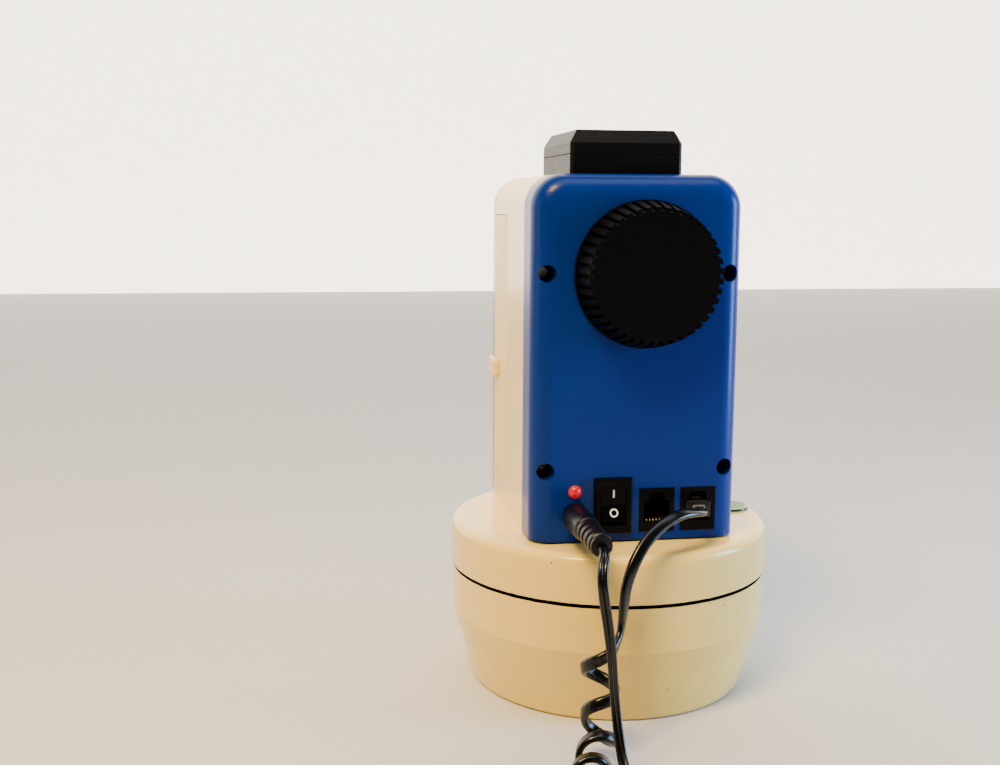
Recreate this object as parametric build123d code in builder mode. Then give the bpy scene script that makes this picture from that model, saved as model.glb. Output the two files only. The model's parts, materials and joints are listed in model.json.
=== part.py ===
"""Motorised alt-azimuth telescope mount: a round base, a turning disc that carries a tower
with the drives, and a dovetail saddle on the altitude axis at the back of the tower.

Frame: millimetres, +Z up, origin on the azimuth axis at the underside of the base.
The side with the big lock knob, the switch and the sockets faces -Y.
"""
from build123d import *
import os
from math import asin, cos, degrees, pi, radians, sin, sqrt, tan

os.makedirs("parts", exist_ok=True)

# ---- driving dimensions, mm ----
DISC_R = 64.0            # turning disc
DECK = 66.0              # top of the disc, where the tower stands
DISC_FOOT = 47.7         # lower edge of the disc's rim
BOWL_R = 63.5            # fixed bowl
BOWL_TOP = 46.5
CREASE = 29.0            # height where the bowl starts to taper
FOOT_R = 55.2
WALL = 3.5

TOWER_W = 80.0
TOWER_H = 137.5
CORNER_R = 12.5          # upper corners of the tower
FRONT = -43.0            # front face of the front cover
FRONT_SEAM = -23.0       # front cover meets the frame
REAR_SEAM = 48.0         # rear cover meets the frame
REAR = 53.0
EDGE_R = 8.0             # rounding around the front cover
COVER_WALL = 2.5
COVER_GAP = 0.8          # covers stand this far above the disc

ALT_X = 2.0              # altitude axis
ALT_Z = DECK + 101.0
SHAFT_R = 6.0
RUNNING = 0.05           # radial clearance of running fits

SCREW_X = 34.6           # front cover screws
SCREW_ZS = (DECK + 27.8, DECK + 101.3)
WELL_R = 3.25

KNOB_R = 27.2
KNOB_FACE_R = 24.6
KNOB_BACK = -44.0
KNOB_FRONT = -58.2
KNOB_RIBS = 42

SOCKET_X = -23.55        # power socket and, above it, the lamp
SOCKET_Z = DECK + 11.1
LAMP_Z = DECK + 20.0
SWITCH_X = -9.0
SWITCH_Z = DECK + 14.4
SWITCH_PIVOT_Y = -40.0
JACK_XS = (8.2, 24.25)
JACK_Z = DECK + 12.2
JACK_W = 13.8
JACK_H = 16.8

TUBE_TOP = DECK + TOWER_H
POWER_LEAD_D = 4.0
HAND_LEAD_D = 3.8
CURLY_D = 14.0


def save(piece, label):
    """Label a finished piece and write its STEP file."""
    piece.part.label = label
    export_step(piece.part, f"parts/{label}.step")


def xz(y):
    """Plane across the depth at y: local x is X, local y is Z, and extrusions go towards -Y."""
    return Plane.XZ.offset(-y)


def tower_block(front, back, inset, foot, front_edge=0.0, back_edge=0.0):
    """Block with the tower's rounded outline from y = front to y = back."""
    half = TOWER_W / 2 - inset
    top = TUBE_TOP - inset
    with BuildPart() as block:
        with BuildSketch(xz(back)) as outline:
            with Locations((0, (foot + top) / 2)):
                Rectangle(2 * half, top - foot)
            fillet(outline.vertices().group_by(Axis.Y)[-1], CORNER_R - inset)
        extrude(amount=back - front)
        for edge_r, face_y in ((front_edge, front), (back_edge, back)):
            if edge_r > 0:
                rim = block.edges().filter_by_position(Axis.Y, face_y - 0.01, face_y + 0.01)
                fillet(rim.filter_by(lambda edge: edge.center().Z > foot + 0.01), edge_r)
    return block.part


def cylinder_y(radius, y_low, y_high, at, mode=Mode.ADD):
    """Cylinder along Y between two depths, centred on at = (x, z)."""
    with Locations(Location((at[0], (y_low + y_high) / 2, at[1]), (90, 0, 0))):
        Cylinder(radius, y_high - y_low, mode=mode)


def cylinder_x(radius, x_low, x_high, at, mode=Mode.ADD):
    """Cylinder along X between two stations, centred on at = (y, z)."""
    with Locations(Location(((x_low + x_high) / 2, at[0], at[1]), (0, 90, 0))):
        Cylinder(radius, x_high - x_low, mode=mode)


def cylinder_z(radius, z_low, z_high, at=(0, 0), mode=Mode.ADD):
    """Upright cylinder between two heights, centred on at = (x, y)."""
    with Locations((at[0], at[1], (z_low + z_high) / 2)):
        Cylinder(radius, z_high - z_low, mode=mode)


def slab(x, y, z, mode=Mode.ADD):
    """Box between the given (low, high) pairs."""
    with Locations(((x[0] + x[1]) / 2, (y[0] + y[1]) / 2, (z[0] + z[1]) / 2)):
        Box(x[1] - x[0], y[1] - y[0], z[1] - z[0], mode=mode)


def cross_screw(head_r, head_h, shank_r, length):
    """Pan-head screw with a cross recess, head up, underside of the head at the origin."""
    recess = 0.9 * head_r
    with BuildPart() as screw:
        cylinder_z(head_r, 0, head_h)
        fillet(screw.edges().group_by(Axis.Z)[-1], head_h * 0.35)
        cylinder_z(shank_r, -length, 0)
        with Locations((0, 0, head_h)):
            Box(2 * recess, head_r * 0.26, head_h, mode=Mode.SUBTRACT)
            Box(head_r * 0.26, 2 * recess, head_h, mode=Mode.SUBTRACT)
    return screw.part


def screw_group(label, screw, places):
    """One node of identical screws, as separate solids."""
    with BuildPart() as group:
        for place in places:
            add(place * screw)
    save(group, label)


def toothed_wheel(teeth, outer_r, bore_r, width):
    """Worm wheel lying flat, lower face at z = 0."""
    with BuildPart() as wheel:
        with BuildSketch():
            Circle(outer_r)
            with PolarLocations(outer_r, teeth):
                Circle(pi * outer_r / teeth * 0.5, mode=Mode.SUBTRACT)
            Circle(bore_r, mode=Mode.SUBTRACT)
        extrude(amount=width)
    return wheel.part


def worm_screw(length, outer_r, root_r, pitch):
    """Worm along Z, centred on the origin, with its thread drawn as ridges."""
    ridges = int(length / pitch)
    with BuildPart() as worm:
        Cylinder(root_r, length)
        with BuildSketch(Plane.XZ):
            for i in range(ridges):
                z = (i - (ridges - 1) / 2) * pitch
                with BuildLine():
                    Polyline(
                        (0, z - pitch * 0.4),
                        (root_r, z - pitch * 0.4),
                        (outer_r, z - pitch * 0.15),
                        (outer_r, z + pitch * 0.15),
                        (root_r, z + pitch * 0.4),
                        (0, z + pitch * 0.4),
                        close=True,
                    )
                make_face()
        revolve(axis=Axis.Z)
    return worm.part


def ball_bearing(inner_r, outer_r, width, ball_r, balls, rows):
    """Deep-groove bearing along Z from z = 0: outer race, inner race and balls."""
    pitch_r = (inner_r + outer_r) / 2
    land = ball_r * 0.55
    row_places = [Location((0, 0, row)) for row in rows]
    races = []
    for low, high in ((pitch_r + land, outer_r), (inner_r, pitch_r - land)):
        with BuildPart() as race:
            cylinder_z(high, 0, width)
            cylinder_z(low, 0, width, mode=Mode.SUBTRACT)
            with Locations(row_places):
                Torus(pitch_r, ball_r + RUNNING, mode=Mode.SUBTRACT)
        races.append(race.part)
    with BuildPart() as ring:
        with Locations(row_places):
            with PolarLocations(pitch_r, balls):
                Sphere(ball_r)
    return races[0], races[1], ring.part


# ================= fixed base =================
LIP_R = 60.3             # labyrinth lip inside the turning disc's rim
FLOOR = 5.0
FOOT_BOSS_R = 9.0        # the spindle's foot fills the hole in the bowl's floor
with BuildPart() as base_bowl:
    with BuildSketch(Plane.XZ) as bowl_section:
        with BuildLine():
            Polyline(
                (FOOT_BOSS_R, 0),
                (FOOT_R, 0),
                (BOWL_R, CREASE),
                (BOWL_R, BOWL_TOP),
                (LIP_R, BOWL_TOP),
                (LIP_R, BOWL_TOP + 3),
                (LIP_R - 3, BOWL_TOP + 3),
                (LIP_R - 3, BOWL_TOP - 3),
                (BOWL_R - WALL, BOWL_TOP - 6),
                (BOWL_R - WALL, CREASE),
                (FOOT_R - WALL, FLOOR),
                (FOOT_BOSS_R, FLOOR),
                close=True,
            )
        make_face()
        outer = bowl_section.vertices().sort_by(Axis.X)
        fillet(outer.filter_by_position(Axis.X, FOOT_R - 0.1, FOOT_R + 0.1), 1.5)
        fillet(outer.filter_by_position(Axis.Y, CREASE - 0.1, CREASE + 0.1).sort_by(Axis.X)[-1], 6)
        fillet(outer.filter_by_position(Axis.X, BOWL_R - 0.1, BOWL_R + 0.1).sort_by(Axis.Y)[-1], 1)
    revolve(axis=Axis.Z)
    with PolarLocations(18.5, 4, start_angle=45):
        with Locations((0, 0, (1 + FLOOR) / 2)):
            Cylinder(2.1, FLOOR - 1, mode=Mode.SUBTRACT)
save(base_bowl, "base_bowl")

THREAD_R = 3.97          # tapping radius of a 3/8-16 thread
THREAD_DEPTH = 14.0
COLUMN_R = 8.5
AZ_WHEEL_Z = 33.0
AZ_WHEEL_W = 8.0
BEARING_Z = 45.0
BEARING_W = 17.0
CLIP_Z = BEARING_Z + BEARING_W
with BuildPart() as azimuth_spindle:
    cylinder_z(FOOT_BOSS_R, 0, FLOOR)
    cylinder_z(24, FLOOR, 9)
    cylinder_z(13, 9, AZ_WHEEL_Z)
    cylinder_z(COLUMN_R + 1.5, AZ_WHEEL_Z, BEARING_Z)
    cylinder_z(COLUMN_R, BEARING_Z, DECK - 1)
    cylinder_z(THREAD_R, 0, THREAD_DEPTH, mode=Mode.SUBTRACT)
    cylinder_z(COLUMN_R + 1, CLIP_Z, CLIP_Z + 1.2, mode=Mode.SUBTRACT)
    cylinder_z(COLUMN_R - 1, CLIP_Z, CLIP_Z + 1.2)
    with PolarLocations(18.5, 4, start_angle=45):
        with Locations((0, 0, 7)):
            Cylinder(2.1, 4, mode=Mode.SUBTRACT)
    chamfer(azimuth_spindle.edges().group_by(Axis.Z)[-1], 0.8)
save(azimuth_spindle, "azimuth_spindle")

spindle_places = [
    Location((18.5 * cos(radians(a)), 18.5 * sin(radians(a)), 9)) for a in (45, 135, 225, 315)
]
screw_group("spindle_screws", cross_screw(3.5, 2.6, 2.0, 7.8), spindle_places)

AZ_WHEEL_R = 25.2
AZ_TEETH = 84
with BuildPart() as azimuth_wheel:
    with Locations((0, 0, AZ_WHEEL_Z)):
        add(toothed_wheel(AZ_TEETH, AZ_WHEEL_R, COLUMN_R + 1.5, AZ_WHEEL_W))
save(azimuth_wheel, "azimuth_wheel")

with BuildPart() as azimuth_clip:
    cylinder_z(10.4, CLIP_Z, CLIP_Z + 1.2)
    cylinder_z(COLUMN_R - 1, CLIP_Z, CLIP_Z + 1.2, mode=Mode.SUBTRACT)
    slab((-1.5, 1.5), (5, 12), (CLIP_Z - 1, CLIP_Z + 2), mode=Mode.SUBTRACT)
save(azimuth_clip, "azimuth_clip")

AZ_BEARING_R = 13.0
az_bearing = ball_bearing(COLUMN_R, AZ_BEARING_R, BEARING_W, 1.35, 16, (3.0, BEARING_W - 3.0))
for label, solid in zip(("azimuth_outer_race", "azimuth_inner_race", "azimuth_bearing_balls"),
                        az_bearing):
    with BuildPart() as bearing_part:
        with Locations((0, 0, BEARING_Z)):
            add(solid)
    save(bearing_part, label)

# ================= turning disc and its drive =================
HUB_R = 17.5
RIM_IN = DISC_R - 3.0
PLATE_UNDER = DECK - WALL
DISC_SCREWS = [(sx * 30, y) for sx in (-1, 1) for y in (-4, 38)]
WIRE_HOLE = (22, -14)
with BuildPart() as turning_disc:
    with BuildSketch(Plane.XZ) as disc_section:
        with BuildLine():
            Polyline(
                (AZ_BEARING_R, 44.5),
                (HUB_R, 44.5),
                (HUB_R, PLATE_UNDER),
                (RIM_IN, PLATE_UNDER),
                (RIM_IN, DISC_FOOT),
                (DISC_R, DISC_FOOT),
                (DISC_R, DECK),
                (11.7, DECK),
                (11.7, CLIP_Z),
                (AZ_BEARING_R, CLIP_Z),
                close=True,
            )
        make_face()
        rim = disc_section.vertices().filter_by_position(Axis.X, DISC_R - 0.1, DISC_R + 0.1)
        fillet(rim.sort_by(Axis.Y)[-1], 3.4)
        fillet(rim.sort_by(Axis.Y)[0], 0.6)
    revolve(axis=Axis.Z)
    for angle in (30, 90, 150, 210, 330):
        with Locations(Location((0, 0, 0), (0, 0, angle))):
            with Locations(((HUB_R + RIM_IN) / 2, 0, PLATE_UNDER - 3)):
                Box(RIM_IN - HUB_R + 1, 3, 6.5)
    for x, y in DISC_SCREWS:
        cylinder_z(2.1, PLATE_UNDER - 1, DECK + 1, (x, y), mode=Mode.SUBTRACT)
    cylinder_z(4, PLATE_UNDER - 1, DECK + 1, WIRE_HOLE, mode=Mode.SUBTRACT)
save(turning_disc, "turning_disc")

disc_places = [Location((x, y, PLATE_UNDER), (180, 0, 0)) for x, y in DISC_SCREWS]
screw_group("disc_screws", cross_screw(3.5, 2.6, 2.0, 6.2), disc_places)

WORM_R = 4.2
WORM_SHAFT_R = 1.5
WORM_PITCH = 1.88
AZ_WORM_Y = -(AZ_WHEEL_R + WORM_R + 0.2)
AZ_WORM_Z = AZ_WHEEL_Z + AZ_WHEEL_W / 2
AZ_MOTOR_R = 8.0
az_axis = (AZ_WORM_Y, AZ_WORM_Z)
with BuildPart() as azimuth_bracket:
    slab((-17, 15), (-40, -20), (PLATE_UNDER - 3, PLATE_UNDER))
    for low in (-17, 13):
        slab((low, low + 2), (AZ_WORM_Y - 8, AZ_WORM_Y + 5), (AZ_WORM_Z - 6, PLATE_UNDER - 3))
    cylinder_x(WORM_SHAFT_R + RUNNING, -18, 16, az_axis, mode=Mode.SUBTRACT)
save(azimuth_bracket, "azimuth_bracket")

with BuildPart() as azimuth_motor:
    cylinder_x(AZ_MOTOR_R, 15, 45, az_axis)
    cylinder_x(AZ_MOTOR_R + 1, 27, 27.6, az_axis, mode=Mode.SUBTRACT)
    cylinder_x(AZ_MOTOR_R - 0.4, 26.9, 27.7, az_axis)
    cylinder_x(WORM_SHAFT_R + RUNNING, 14, 18, az_axis, mode=Mode.SUBTRACT)
save(azimuth_motor, "azimuth_motor")

with BuildPart() as azimuth_worm:
    with Locations(Location((0, AZ_WORM_Y, AZ_WORM_Z), (0, 90, 0))):
        add(worm_screw(22, WORM_R, 3.3, WORM_PITCH))
    cylinder_x(WORM_SHAFT_R, -18, 17.8, az_axis)
save(azimuth_worm, "azimuth_worm")

# ================= tower frame and covers =================
FLOOR_T = 3.0
WEB = (7.0, 12.0)        # middle web, carries the front altitude bearing
REAR_WALL = 44.0
ALT = (ALT_X, ALT_Z)
ALT_BEARING_R = 10.5
ALT_BEARING_W = 5.0
DOOR_Y = (14.5, 43.5)    # battery door opening
DOOR_Z = (DECK + 12, DECK + 122)
HINGE_Y = DOOR_Y[0] + 1.6
HINGE_X = TOWER_W / 2 - 1.25
HINGE_PIN_R = 0.9
RECEIVER_X = -2.2        # satellite receiver box on the top
RECEIVER_W = 43.0
RECEIVER_Y = (-28.7, 24.3)
RECEIVER_SCREWS = [(RECEIVER_X, RECEIVER_Y[0] + 12), (RECEIVER_X, RECEIVER_Y[1] - 8)]
REAR_SCREWS = [(sx * 30, z) for sx in (-1, 1) for z in (DECK + 10, DECK + 127)]
with BuildPart() as tower_frame:
    add(tower_block(FRONT_SEAM, REAR_SEAM, 0, DECK))
    for low, high in ((FRONT_SEAM, WEB[0]), (WEB[1], REAR_WALL)):
        add(tower_block(low, high, WALL, DECK + FLOOR_T), mode=Mode.SUBTRACT)
    cylinder_y(14, REAR_WALL - 3, REAR_WALL, ALT)
    cylinder_y(14, WEB[1], WEB[1] + 2, ALT)
    cylinder_y(8.5, WEB[0] - 1, REAR_SEAM + 1, ALT, mode=Mode.SUBTRACT)
    cylinder_y(ALT_BEARING_R, WEB[0] - 1, WEB[1], ALT, mode=Mode.SUBTRACT)
    cylinder_y(ALT_BEARING_R, REAR_SEAM - ALT_BEARING_W, REAR_SEAM + 1, ALT, mode=Mode.SUBTRACT)
    for sx in (-1, 1):
        outside = (sx * 30, sx * 45) if sx > 0 else (sx * 45, sx * 30)
        slab(outside, DOOR_Y, DOOR_Z, mode=Mode.SUBTRACT)
        pin_at = (sx * HINGE_X, HINGE_Y)
        cylinder_z(HINGE_PIN_R + RUNNING, DOOR_Z[0] - 2, DOOR_Z[1] + 2, pin_at, mode=Mode.SUBTRACT)
        for z in SCREW_ZS:
            post = (sx * SCREW_X, z)
            cylinder_y(4.0, FRONT_SEAM, FRONT_SEAM + 13, post)
            cylinder_y(1.55, FRONT_SEAM - 1, FRONT_SEAM + 11, post, mode=Mode.SUBTRACT)
    for x, z in REAR_SCREWS:
        cylinder_y(1.3, REAR_WALL - 1, REAR_SEAM + 1, (x, z), mode=Mode.SUBTRACT)
    for x, y in DISC_SCREWS:
        cylinder_z(2.1, DECK - 1, DECK + FLOOR_T + 1, (x, y), mode=Mode.SUBTRACT)
    cylinder_z(12, DECK - 1, DECK + FLOOR_T + 1, mode=Mode.SUBTRACT)
    cylinder_z(4, DECK - 1, DECK + FLOOR_T + 1, WIRE_HOLE, mode=Mode.SUBTRACT)
    for x, y in RECEIVER_SCREWS:
        if y > FRONT_SEAM:
            cylinder_z(1.6, TUBE_TOP - WALL - 1, TUBE_TOP + 1, (x, y), mode=Mode.SUBTRACT)
    slab((-12, 16), (WEB[0] - 1, WEB[1] + 1), (DECK + 18, DECK + 70), mode=Mode.SUBTRACT)
save(tower_frame, "tower_frame")

SWITCH_CUT = (13.4, 19.2)
BOARD_FRONT = FRONT_SEAM - 3.6
well_places = [(sx * SCREW_X, z) for sx in (-1, 1) for z in SCREW_ZS]
with BuildPart() as cover_hollow:
    add(tower_block(FRONT + COVER_WALL, FRONT_SEAM, COVER_WALL, DECK + 2.0,
                    front_edge=EDGE_R - COVER_WALL))
    for place in well_places:
        cylinder_y(4.6, FRONT, FRONT_SEAM, place, mode=Mode.SUBTRACT)
with BuildPart() as front_cover:
    add(tower_block(FRONT, FRONT_SEAM, 0, DECK + COVER_GAP, front_edge=EDGE_R))
    add(cover_hollow.part, mode=Mode.SUBTRACT)
    for place in well_places:
        cylinder_y(WELL_R, FRONT - 1, FRONT + 15, place, mode=Mode.SUBTRACT)
        cylinder_y(1.7, FRONT, FRONT_SEAM + 1, place, mode=Mode.SUBTRACT)
    cylinder_y(10, FRONT - 1, FRONT + 5, ALT, mode=Mode.SUBTRACT)
    cylinder_y(2.55, FRONT - 1, FRONT + 5, (SOCKET_X, LAMP_Z), mode=Mode.SUBTRACT)
    cylinder_y(4.2, FRONT - 1, FRONT + 5, (SOCKET_X, SOCKET_Z), mode=Mode.SUBTRACT)
    half_w, half_h = SWITCH_CUT[0] / 2, SWITCH_CUT[1] / 2
    slab((SWITCH_X - half_w, SWITCH_X + half_w), (FRONT - 1, FRONT + 5),
         (SWITCH_Z - half_h, SWITCH_Z + half_h), mode=Mode.SUBTRACT)
    for x in JACK_XS:
        slab((x - JACK_W / 2, x + JACK_W / 2), (FRONT - 1, FRONT + 5),
             (JACK_Z - JACK_H / 2, JACK_Z + JACK_H / 2), mode=Mode.SUBTRACT)
    for x in (-25, 25):
        for z in (DECK + 34, DECK + 122):
            cylinder_y(2.5, FRONT + 1, BOARD_FRONT, (x, z))
save(front_cover, "front_cover")

cover_places = [Location((x, FRONT + 15, z), (90, 0, 0)) for x, z in well_places]
screw_group("front_cover_screws", cross_screw(2.75, 2.2, 1.5, 15), cover_places)

with BuildPart() as rear_cover:
    add(tower_block(REAR_SEAM, REAR, 0, DECK + COVER_GAP, back_edge=3.0))
    add(tower_block(REAR_SEAM, REAR_SEAM + 2.5, 6, DECK + 16), mode=Mode.SUBTRACT)
    for x, z in REAR_SCREWS:
        cylinder_y(1.7, REAR_SEAM - 1, REAR + 1, (x, z), mode=Mode.SUBTRACT)
        cylinder_y(3.0, REAR - 1.8, REAR + 1, (x, z), mode=Mode.SUBTRACT)
    cylinder_y(15.2, REAR_SEAM - 1, REAR + 1, ALT, mode=Mode.SUBTRACT)
save(rear_cover, "rear_cover")

rear_places = [Location((x, REAR - 1.8, z), (-90, 0, 0)) for x, z in REAR_SCREWS]
screw_group("rear_cover_screws", cross_screw(2.8, 1.7, 1.25, 7), rear_places)

# ---- battery doors, holders and cells ----
DOOR_GAP = 0.3
LATCH_Z = DECK + 56.5
LATCH_H = 7.8
for side, sx in (("left", -1), ("right", 1)):
    with BuildPart() as door:
        slab((TOWER_W / 2 - 2.5, TOWER_W / 2),
             (DOOR_Y[0] + DOOR_GAP, DOOR_Y[1] - DOOR_GAP),
             (DOOR_Z[0] + DOOR_GAP, DOOR_Z[1] - DOOR_GAP))
        hinge_edges = door.edges().filter_by(Axis.Z).group_by(Axis.Y)[0]
        fillet(hinge_edges, 1.2)
        cylinder_z(HINGE_PIN_R, DOOR_Z[0] - 1.5, DOOR_Z[1] + 1.5, (HINGE_X, HINGE_Y))
        slab((TOWER_W / 2 - 1, TOWER_W / 2 + 0.15), (35, 43), (LATCH_Z - 3, LATCH_Z + 3))
    with BuildPart() as tab:
        slab((TOWER_W / 2 + 0.1, TOWER_W / 2 + 2.4), (34.5, 49.5),
             (LATCH_Z - LATCH_H / 2, LATCH_Z + LATCH_H / 2))
        fillet(tab.edges().filter_by(Axis.X), 1.6)
        fillet(tab.faces().sort_by(Axis.X)[-1].edges(), 0.9)
    with BuildPart() as battery_door:
        whole = door.part + tab.part
        add(whole if sx > 0 else whole.mirror(Plane.YZ))
    save(battery_door, f"{side}_battery_door")

CELL_R = 7.1
CELL_L = 50.0
CELL_X = 27.6
CELL_YS = (20.7, 35.3)
CELL_ZS = (DECK + 11.5, DECK + 64.5)
HOLDER_X = (19.0, 36.2)
HOLDER_Y = (12.2, 43.8)
HOLDER_Z = (DECK + 9.5, DECK + 118)
HOLDER_WALL = 1.2
with BuildPart() as holder:
    slab(HOLDER_X, HOLDER_Y, HOLDER_Z)
    for z in CELL_ZS:
        slab((HOLDER_X[0] + HOLDER_WALL, HOLDER_X[1] + 1),
             (HOLDER_Y[0] + HOLDER_WALL, HOLDER_Y[1] - HOLDER_WALL),
             (z - 0.8, z + CELL_L + 0.8), mode=Mode.SUBTRACT)
with BuildPart() as cells:
    for y in CELL_YS:
        for z in CELL_ZS:
            cylinder_z(CELL_R, z, z + CELL_L - 1, (CELL_X, y))
            cylinder_z(2.7, z + CELL_L - 1, z + CELL_L, (CELL_X, y))
for label, source in (("battery_holders", holder), ("batteries", cells)):
    with BuildPart() as both_sides:
        add(source.part)
        mirror(about=Plane.YZ)
    save(both_sides, label)

# ---- satellite receiver box ----
RECEIVER_SPLIT = TUBE_TOP + 7.5
RECEIVER_SHOULDER = TUBE_TOP + 11.6
RECEIVER_TOP = TUBE_TOP + 16.4
RECEIVER_WALL = 2.0
half_box = RECEIVER_W / 2
box_x = (RECEIVER_X - half_box, RECEIVER_X + half_box)
inner_x = (box_x[0] + RECEIVER_WALL, box_x[1] - RECEIVER_WALL)
inner_y = (RECEIVER_Y[0] + RECEIVER_WALL, RECEIVER_Y[1] - RECEIVER_WALL)
with BuildPart() as receiver_base:
    slab(box_x, RECEIVER_Y, (TUBE_TOP, RECEIVER_SPLIT))
    chamfer(receiver_base.edges().filter_by(Axis.Z), 1.2)
    slab(inner_x, inner_y, (TUBE_TOP + RECEIVER_WALL, RECEIVER_SPLIT + 1), mode=Mode.SUBTRACT)
    for x, y in RECEIVER_SCREWS:
        if y > FRONT_SEAM:
            cylinder_z(1.6, TUBE_TOP - 1, TUBE_TOP + 4, (x, y), mode=Mode.SUBTRACT)
save(receiver_base, "receiver_base")

with BuildPart() as receiver_lid:
    with BuildSketch(Plane.XY.offset(RECEIVER_SPLIT)) as lid_outline:
        with Locations((RECEIVER_X, sum(RECEIVER_Y) / 2)):
            Rectangle(RECEIVER_W, RECEIVER_Y[1] - RECEIVER_Y[0])
        chamfer(lid_outline.vertices(), 1.2)
    extrude(amount=RECEIVER_SHOULDER - RECEIVER_SPLIT)
    extrude(receiver_lid.faces().sort_by(Axis.Z)[-1], amount=RECEIVER_TOP - RECEIVER_SHOULDER,
            taper=30)
    slab((inner_x[0] + 2, inner_x[1] - 2), (inner_y[0] + 2, inner_y[1] - 2),
         (RECEIVER_SPLIT - 1, RECEIVER_TOP - RECEIVER_WALL), mode=Mode.SUBTRACT)
save(receiver_lid, "receiver_lid")

with BuildPart() as receiver_board:
    slab((inner_x[0] + 1.5, inner_x[1] - 1.5), (inner_y[0] + 1.5, inner_y[1] - 1.5),
         (TUBE_TOP + 5.5, TUBE_TOP + 7.1))
    slab((RECEIVER_X - 12.5, RECEIVER_X + 12.5), (-14.5, 10.5), (TUBE_TOP + 7.1, TUBE_TOP + 11.1))
save(receiver_board, "receiver_board")

receiver_places = [Location((x, y, TUBE_TOP + 2)) for x, y in RECEIVER_SCREWS if y > FRONT_SEAM]
screw_group("receiver_screws", cross_screw(2.75, 2.0, 1.5, 8), receiver_places)

# ---- bubble level ----
LEVEL_AT = (53.4, 3.2)
LEVEL_R = 8.2
LEVEL_TOP = DECK + 1.0
with BuildPart() as level_cup:
    cylinder_z(LEVEL_R, DECK, LEVEL_TOP, LEVEL_AT)
    fillet(level_cup.edges().group_by(Axis.Z)[-1], 0.4)
    cylinder_z(LEVEL_R - 1.3, DECK + 0.3, LEVEL_TOP + 1, LEVEL_AT, mode=Mode.SUBTRACT)
save(level_cup, "level_cup")

with BuildPart() as level_vial:
    cylinder_z(LEVEL_R - 1.3, DECK + 0.3, LEVEL_TOP - 0.1, LEVEL_AT)
    fillet(level_vial.edges().group_by(Axis.Z)[-1], 0.2)
save(level_vial, "level_vial")

# ================= altitude drive =================
ALT_WHEEL_R = 21.6
ALT_TEETH = 72
ALT_WHEEL_Y = (-8.0, 0.0)
PAD_T = 1.5
SLEEVE_R = 9.0
PAD_FRONT = ALT_WHEEL_Y[0] - PAD_T
SHOULDER = ALT_WHEEL_Y[1] + PAD_T
FLANGE_R = 14.0
THREAD_END_R = 5.0       # threaded front end that the lock knob turns on
SADDLE_Y = 55.0
SADDLE_SCREW_R = 10.0
with BuildPart() as altitude_shaft:
    cylinder_y(THREAD_END_R, KNOB_FRONT + 3, KNOB_BACK, ALT)
    cylinder_y(SHAFT_R, KNOB_BACK, SADDLE_Y, ALT)
    cylinder_y(12, SHOULDER, WEB[0] - 2, ALT)
    cylinder_y(7.6, WEB[0] - 2, WEB[0], ALT)
    cylinder_y(7.6, REAR_SEAM, REAR_SEAM + 1, ALT)
    cylinder_y(FLANGE_R, REAR_SEAM + 1, SADDLE_Y, ALT)
    with Locations(Location((ALT_X, 0, ALT_Z), (90, 0, 0))):
        with PolarLocations(SADDLE_SCREW_R, 4, start_angle=45):
            with Locations((0, 0, -(SADDLE_Y - 3))):
                Cylinder(2.0, 6, mode=Mode.SUBTRACT)
save(altitude_shaft, "altitude_shaft")

with BuildPart() as clutch_sleeve:
    cylinder_y(SLEEVE_R, KNOB_BACK + 0.2, PAD_FRONT, ALT)
    cylinder_y(13, PAD_FRONT - 2.5, PAD_FRONT, ALT)
    cylinder_y(SHAFT_R, KNOB_BACK, PAD_FRONT + 1, ALT, mode=Mode.SUBTRACT)
save(clutch_sleeve, "clutch_sleeve")

with BuildPart() as altitude_wheel:
    with Locations(Location((ALT_X, ALT_WHEEL_Y[1], ALT_Z), (90, 0, 0))):
        add(toothed_wheel(ALT_TEETH, ALT_WHEEL_R, SHAFT_R, ALT_WHEEL_Y[1] - ALT_WHEEL_Y[0]))
    cylinder_y(12.5, PAD_FRONT, SHOULDER, ALT)
    cylinder_y(SHAFT_R, PAD_FRONT - 1, SHOULDER + 1, ALT, mode=Mode.SUBTRACT)
save(altitude_wheel, "altitude_wheel")

alt_bearing = ball_bearing(SHAFT_R, ALT_BEARING_R, ALT_BEARING_W, 1.35, 12, (ALT_BEARING_W / 2,))
for label, solid in zip(("altitude_outer_races", "altitude_inner_races", "altitude_bearing_balls"),
                        alt_bearing):
    with BuildPart() as bearing_part:
        for back in (WEB[1], REAR_SEAM):
            with Locations(Location((ALT_X, back, ALT_Z), (90, 0, 0))):
                add(solid)
    save(bearing_part, label)

ALT_WORM_X = ALT_X - (ALT_WHEEL_R + WORM_R + 0.2)
ALT_WORM_Y = sum(ALT_WHEEL_Y) / 2
MOTOR_TOP = 146.0
BRACKET_TOP = 188.0
MOTOR_R = 9.0
worm_at = (ALT_WORM_X, ALT_WORM_Y)
with BuildPart() as altitude_bracket:
    slab((ALT_WORM_X - 9, ALT_WORM_X + 9), (WEB[0] - 2, WEB[0]), (MOTOR_TOP, BRACKET_TOP))
    for low in (MOTOR_TOP, BRACKET_TOP - 2):
        slab((ALT_WORM_X - 9, ALT_WORM_X + 9), (ALT_WORM_Y - 9, WEB[0]), (low, low + 2))
    cylinder_z(WORM_SHAFT_R + RUNNING, MOTOR_TOP - 1, BRACKET_TOP + 1, worm_at, mode=Mode.SUBTRACT)
save(altitude_bracket, "altitude_bracket")

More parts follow.
